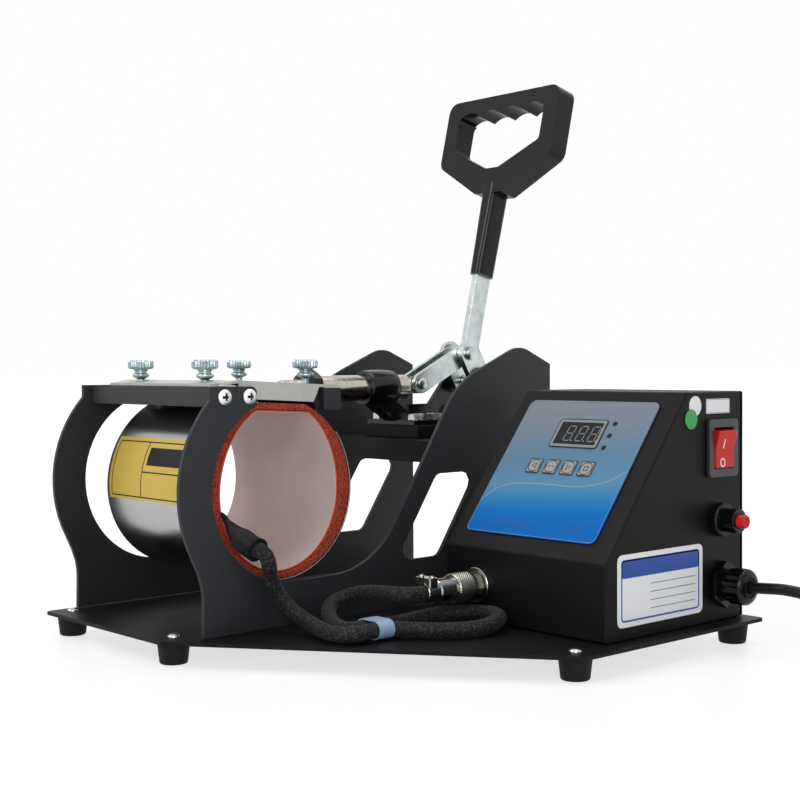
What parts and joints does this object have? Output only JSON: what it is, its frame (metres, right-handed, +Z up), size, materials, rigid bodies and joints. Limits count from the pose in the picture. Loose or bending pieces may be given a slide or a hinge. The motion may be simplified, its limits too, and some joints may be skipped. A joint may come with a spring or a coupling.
{
  "type": "cylindrical heat press",
  "caption": "Cylindrical heat press: a lever toggle closes a heated band round a mug, beside a sloped control box with a braided lead and a power cord.",
  "frame": {"origin": "middle of the footprint of everything but the free cords, at the bottom of the feet", "axes": "+X along the heater towards the control box, +Y from the clamp's front to its lever, +Z up"},
  "size_m": [0.418, 0.3213, 0.3315],
  "materials": {
    "black_powder_coat": "black satin powder coat",
    "zinc_plate": "bright zinc plate",
    "grey_zinc_sheet": "light grey sheet",
    "nickel_plate": "polished nickel plate",
    "polished_steel": "polished stainless sheet",
    "black_plastic": "semi-gloss black plastic",
    "black_rubber": "matt black rubber",
    "red_silicone": "orange-red silicone",
    "ptfe_cloth": "brown coated cloth",
    "grey_braid": "dark grey braided sleeve",
    "pale_blue_tie": "pale blue tape",
    "blue_overlay": "blue printed film",
    "dark_window": "dark clear window",
    "green_board": "green solder mask",
    "red_plastic": "red plastic"
  },
  "bodies": {
    "root": {"base_plate": "black_powder_coat", "right_side_plate": "black_powder_coat", "left_side_plate": "black_powder_coat", "foot_front_left": "black_rubber", "foot_front_middle": "black_rubber", "foot_front_right": "black_rubber", "foot_rear_right": "black_rubber", "foot_rear_left": "black_rubber", "front_clamp_bar": "black_powder_coat", "arm_screw_front": "zinc_plate", "arm_screw_rear": "zinc_plate", "cross_shelf": "black_powder_coat", "clamp_spacer_block": "black_powder_coat", "toggle_body": "black_powder_coat", "mount_bolt_1": "zinc_plate", "mount_bolt_2": "zinc_plate", "mount_bolt_3": "zinc_plate", "mount_bolt_4": "zinc_plate", "pivot_pin_frame": "zinc_plate", "heater_shell": "polished_steel", "silicone_pad": "red_silicone", "heater_liner": "ptfe_cloth", "lead_boot": "black_rubber", "heater_lead": "grey_braid", "lead_tie": "pale_blue_tie", "connector_plug": "nickel_plate", "connector_socket": "nickel_plate", "control_box": "black_powder_coat", "box_rear_cover": "black_powder_coat", "membrane_panel": "blue_overlay", "display_window": "dark_window", "control_board": "green_board", "power_board": "green_board", "rocker_bezel": "black_plastic", "breaker_body": "black_plastic", "breaker_nut": "black_plastic", "cable_gland": "black_plastic", "power_cord": "black_rubber", "power_cord_coil": "black_rubber", "coil_tie": "black_rubber", "mains_plug": "black_rubber"},
    "lever": {"lever_bar": "zinc_plate", "lever_cheek": "zinc_plate", "lever_grip": "black_plastic"},
    "link": {"link_plates": "zinc_plate"},
    "plunger": {"plunger_shaft": "nickel_plate", "rear_clamp_bar": "black_powder_coat", "top_saddle": "grey_zinc_sheet"},
    "adjusting_nut": {"adjusting_nut": "black_powder_coat"},
    "front_left_thumb_screw": {"front_left_thumb_screw": "zinc_plate"},
    "front_right_thumb_screw": {"front_right_thumb_screw": "zinc_plate"},
    "rear_left_thumb_screw": {"rear_left_thumb_screw": "zinc_plate"},
    "rear_right_thumb_screw": {"rear_right_thumb_screw": "zinc_plate"},
    "connector_ring": {"connector_ring": "nickel_plate"},
    "panel_key_1": {"panel_key_1": "blue_overlay"},
    "panel_key_2": {"panel_key_2": "blue_overlay"},
    "panel_key_3": {"panel_key_3": "blue_overlay"},
    "panel_key_4": {"panel_key_4": "blue_overlay"},
    "switch_rocker": {"switch_rocker": "red_plastic"},
    "reset_button": {"reset_button": "red_plastic"}
  },
  "joints": [
    {"name": "lever_swing", "type": "hinge", "parent": "root", "child": "lever", "pos_m": [-0.0834, 0.11857, 0.1415], "axis": [1, 0, 0], "range_deg": [0, 57.13]},
    {"name": "link_swing", "type": "hinge", "parent": "lever", "child": "link", "pos_m": [-0.0834, 0.10767, 0.1592], "axis": [1, 0, 0], "range_deg": [-80.72, 0]},
    {"name": "plunger_slide", "type": "slide", "parent": "root", "child": "plunger", "axis": [0, -1, 0], "range_m": [0, 0.0143], "deforming": ["silicone_pad", "heater_liner"]},
    {"name": "adjusting_nut_turn", "type": "hinge", "parent": "plunger", "child": "adjusting_nut", "pos_m": [-0.0834, -0.02193, 0.1379], "axis": [0, 1, 0], "continuous": true},
    {"name": "front_left_thumb_screw_turn", "type": "hinge", "parent": "root", "child": "front_left_thumb_screw", "pos_m": [-0.1154, -0.11353, 0.1447], "axis": [0, 0, 1], "continuous": true},
    {"name": "front_right_thumb_screw_turn", "type": "hinge", "parent": "root", "child": "front_right_thumb_screw", "pos_m": [-0.0514, -0.11353, 0.1447], "axis": [0, 0, 1], "continuous": true},
    {"name": "rear_left_thumb_screw_turn", "type": "hinge", "parent": "plunger", "child": "rear_left_thumb_screw", "pos_m": [-0.1154, -0.04573, 0.1447], "axis": [0, 0, 1], "continuous": true},
    {"name": "rear_right_thumb_screw_turn", "type": "hinge", "parent": "plunger", "child": "rear_right_thumb_screw", "pos_m": [-0.0514, -0.04573, 0.1447], "axis": [0, 0, 1], "continuous": true},
    {"name": "connector_ring_turn", "type": "hinge", "parent": "root", "child": "connector_ring", "pos_m": [0.0416, -0.02233, 0.0335], "axis": [0, 1, 0], "continuous": true},
    {"name": "panel_key_1_press", "type": "slide", "parent": "root", "child": "panel_key_1", "axis": [0, 0.7843, -0.6203], "range_m": [0, 0.0004], "stiffness_N_per_m": 1500},
    {"name": "panel_key_2_press", "type": "slide", "parent": "root", "child": "panel_key_2", "axis": [0, 0.7843, -0.6203], "range_m": [0, 0.0004], "stiffness_N_per_m": 1500},
    {"name": "panel_key_3_press", "type": "slide", "parent": "root", "child": "panel_key_3", "axis": [0, 0.7843, -0.6203], "range_m": [0, 0.0004], "stiffness_N_per_m": 1500},
    {"name": "panel_key_4_press", "type": "slide", "parent": "root", "child": "panel_key_4", "axis": [0, 0.7843, -0.6203], "range_m": [0, 0.0004], "stiffness_N_per_m": 1500},
    {"name": "switch_rocker_tilt", "type": "hinge", "parent": "root", "child": "switch_rocker", "pos_m": [0.128, 0.09417, 0.1068], "axis": [0, 1, 0], "range_deg": [-13, 0]},
    {"name": "reset_button_press", "type": "slide", "parent": "root", "child": "reset_button", "axis": [-1, 0, 0], "range_m": [0, 0.002], "stiffness_N_per_m": 600}
  ],
  "couplings": [
    {"joint": "link_swing", "follows": "lever_swing", "ratio": -1.412},
    {"joint": "plunger_slide", "follows": "lever_swing", "m_per_rad": 0.014288}
  ]
}
